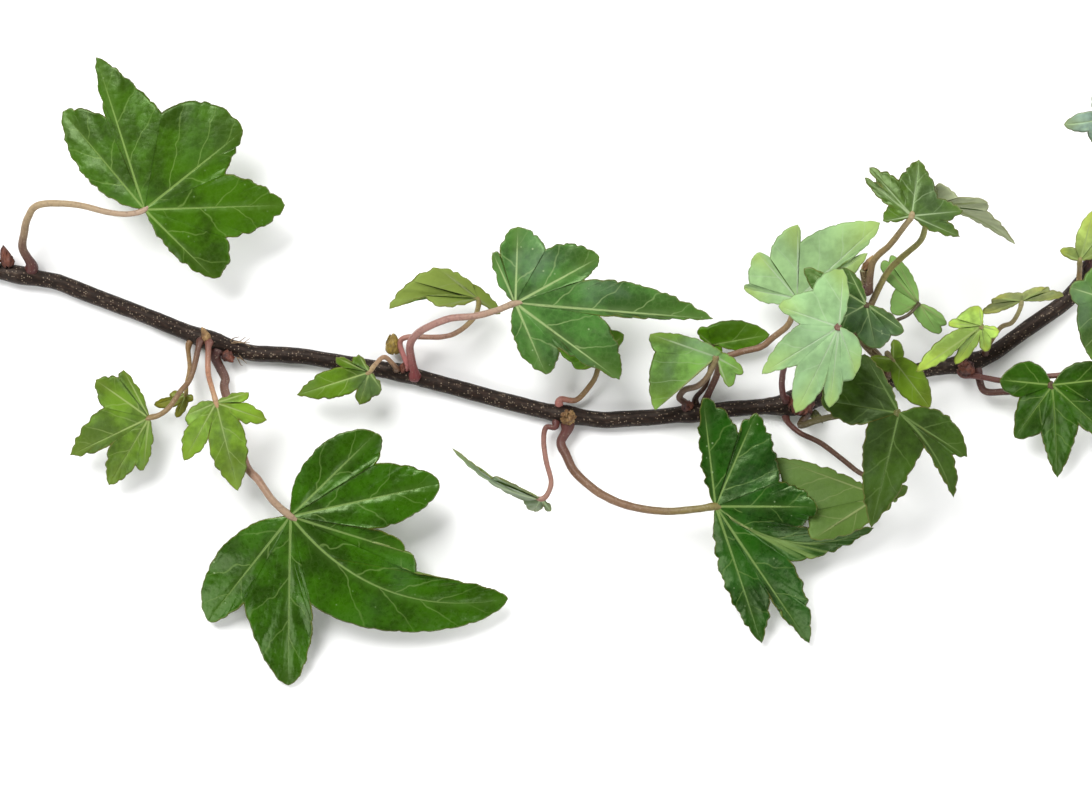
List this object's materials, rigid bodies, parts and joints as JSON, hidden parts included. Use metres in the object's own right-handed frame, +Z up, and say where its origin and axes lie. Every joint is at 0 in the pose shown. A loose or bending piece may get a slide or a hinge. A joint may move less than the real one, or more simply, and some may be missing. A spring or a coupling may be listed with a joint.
{
  "type": "cut ivy stem",
  "caption": "Cut length of climbing ivy stem lying flat, with lobed leaves on curved stalks, a short side shoot and small buds at the nodes.",
  "frame": {"origin": "centre of the bounding box at the surface that the stem lies on", "axes": "+X along the stem between its two cut ends, +Y across it along the surface, +Z up from the surface"},
  "size_m": [0.2272, 0.1246, 0.0362],
  "materials": {
    "bark": "thin purple-brown young bark with pale pores, dull",
    "stalk": "smooth plant stalk, maroon at the foot to pink and olive, satin",
    "bud": "dry tan and brown bud scales, dull",
    "blade_green": "mid-green leaf with pale veins, waxy satin",
    "blade_dark": "dark green leaf with pale veins, waxy gloss",
    "blade_pale": "pale grey-green leaf with pale veins, waxy sheen",
    "blade_young": "yellow-green young leaf or pale underside, satin"
  },
  "bodies": {
    "root": {"main_stem": "bark", "side_shoot": "bark", "leaf_01": "blade_green", "leaf_02": "blade_dark", "leaf_03": "blade_green", "leaf_04": "blade_green", "leaf_05": "blade_young", "leaf_06": "blade_young", "leaf_07": "blade_young", "leaf_08": "blade_dark", "leaf_09": "blade_young", "leaf_10": "blade_green", "leaf_11": "blade_green", "leaf_12": "blade_dark", "leaf_13": "blade_pale", "leaf_14": "blade_pale", "leaf_15": "blade_dark", "leaf_16": "blade_dark", "leaf_17": "blade_young", "leaf_18": "blade_dark", "leaf_19": "blade_green", "leaf_20": "blade_young", "leaf_21": "blade_young", "leaf_22": "blade_young", "leaf_23": "blade_young", "leaf_24": "blade_young", "leaf_25": "blade_dark", "leaf_26": "blade_dark", "leaf_27": "blade_young", "leaf_28": "blade_green", "petiole_01": "stalk", "petiole_02": "stalk", "petiole_03": "stalk", "petiole_04": "stalk", "petiole_05": "stalk", "petiole_06": "stalk", "petiole_07": "stalk", "petiole_08": "stalk", "petiole_09": "stalk", "petiole_10": "stalk", "petiole_11": "stalk", "petiole_12": "stalk", "petiole_13": "stalk", "petiole_14": "stalk", "petiole_15": "stalk", "petiole_16": "stalk", "petiole_17": "stalk", "petiole_18": "stalk", "petiole_19": "stalk", "petiole_20": "stalk", "petiole_21": "stalk", "petiole_22": "stalk", "petiole_23": "stalk", "petiole_24": "stalk", "petiole_25": "stalk", "petiole_26": "stalk", "petiole_27": "stalk", "petiole_28": "stalk", "bud_n3": "bud", "bud_n4": "bud"}
  },
  "joints": []
}
